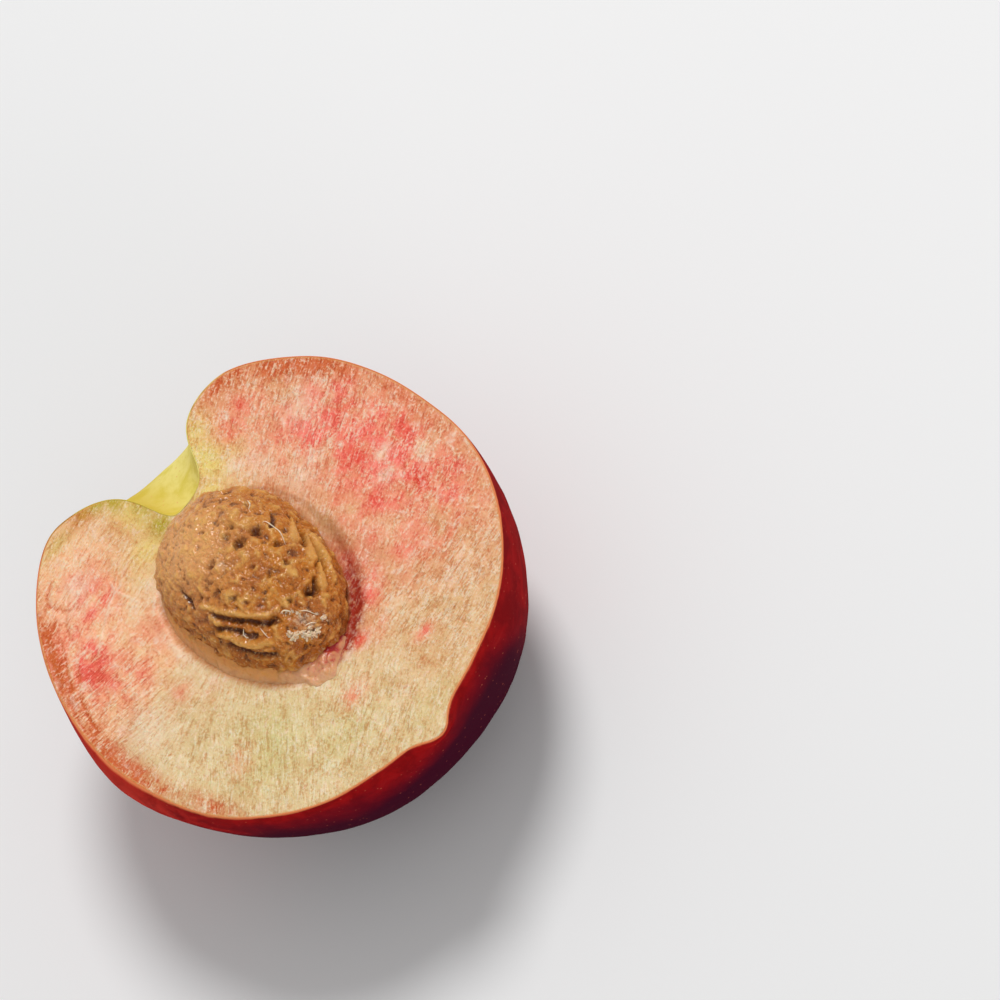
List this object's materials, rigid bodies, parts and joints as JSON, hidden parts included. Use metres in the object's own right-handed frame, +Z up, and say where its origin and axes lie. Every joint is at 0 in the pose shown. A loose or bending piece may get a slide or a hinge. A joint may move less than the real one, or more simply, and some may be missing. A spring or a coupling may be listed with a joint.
{
  "type": "peach half",
  "caption": "Half of a smooth-skinned white peach lying on its skin, cut face up, with the whole rough stone still in its hollow.",
  "frame": {"origin": "middle of the half's footprint, on the surface that it lies on", "axes": "+Z up out of the cut face, +Y along the cut face towards the stem funnel, -Y towards the blossom tip, +X to the lower of the two shoulders"},
  "size_m": [0.0728, 0.0742, 0.0448],
  "materials": {
    "flesh": "wet, cream with pink and red flushes, fine fibres",
    "stone": "golden brown, woody, deeply pitted and furrowed, damp",
    "skin": "smooth, crimson to near black, yellow green in the stem funnel, satin"
  },
  "bodies": {
    "root": {"flesh": "flesh", "pit": "stone"}
  },
  "joints": []
}
